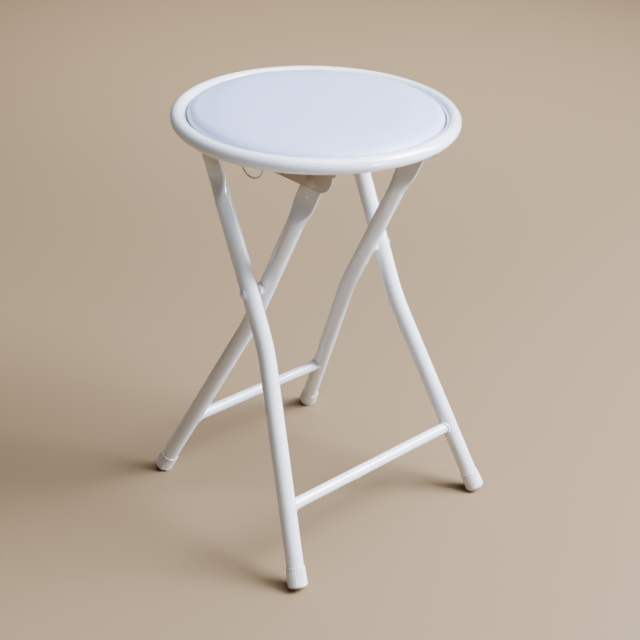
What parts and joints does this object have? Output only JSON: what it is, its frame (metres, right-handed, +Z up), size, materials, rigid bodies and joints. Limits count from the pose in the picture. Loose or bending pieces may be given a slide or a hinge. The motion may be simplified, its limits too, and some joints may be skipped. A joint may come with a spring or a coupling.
{
  "type": "padded folding stool",
  "caption": "Folding stool with a round padded seat in a tubular rim, on two crossed frames of bent white steel tube with cross bars and plastic foot caps.",
  "frame": {"origin": "on the floor under the middle of the seat", "axes": "+Z up, X along the cross bars, +Y towards the feet of the inner frame, which carries the seat's hinge at -Y"},
  "size_m": [0.3, 0.3014, 0.4721],
  "materials": {
    "white_paint": "gloss white baked paint",
    "white_plastic": "satin moulded plastic",
    "white_vinyl": "satin coated cloth with a fine grain",
    "bare_steel": "plated, dull",
    "plywood": "raw board",
    "foam": "open-cell foam"
  },
  "bodies": {
    "inner_frame": {"inner_leg_left": "white_paint", "inner_leg_right": "white_paint", "inner_cross_bar": "white_paint", "inner_foot_cap_left": "white_plastic", "inner_foot_cap_right": "white_plastic", "crossing_rivet_left": "white_paint", "crossing_rivet_right": "white_paint", "crossing_spacer_left": "white_plastic", "crossing_spacer_right": "white_plastic"},
    "outer_frame": {"outer_leg_left": "white_paint", "outer_leg_right": "white_paint", "outer_cross_bar": "white_paint", "outer_foot_cap_left": "white_plastic", "outer_foot_cap_right": "white_plastic", "hook_pin_left": "white_paint", "hook_pin_right": "white_paint"},
    "seat": {"seat_rim": "white_paint", "seat_rail_left": "white_paint", "seat_rail_right": "white_paint", "hook_plate_left": "white_paint", "hook_plate_right": "white_paint", "seat_rivet_left": "white_paint", "seat_rivet_right": "white_paint", "seat_washer_left": "bare_steel", "seat_washer_right": "bare_steel", "wire_loop": "bare_steel", "seat_board": "plywood", "board_screws": "bare_steel", "seat_foam": "foam", "seat_cover": "white_vinyl"}
  },
  "joints": [
    {"name": "leg_fold", "type": "hinge", "parent": "inner_frame", "child": "outer_frame", "pos_m": [0, -0.009, 0.2868], "axis": [1, 0, 0], "range_deg": [0, 47]},
    {"name": "seat_fold", "type": "hinge", "parent": "inner_frame", "child": "seat", "pos_m": [0, -0.07921, 0.4283], "axis": [1, 0, 0], "range_deg": [0, 108.1]}
  ],
  "couplings": [
    {"joint": "seat_fold", "follows": "leg_fold", "ratio": 2.3}
  ]
}
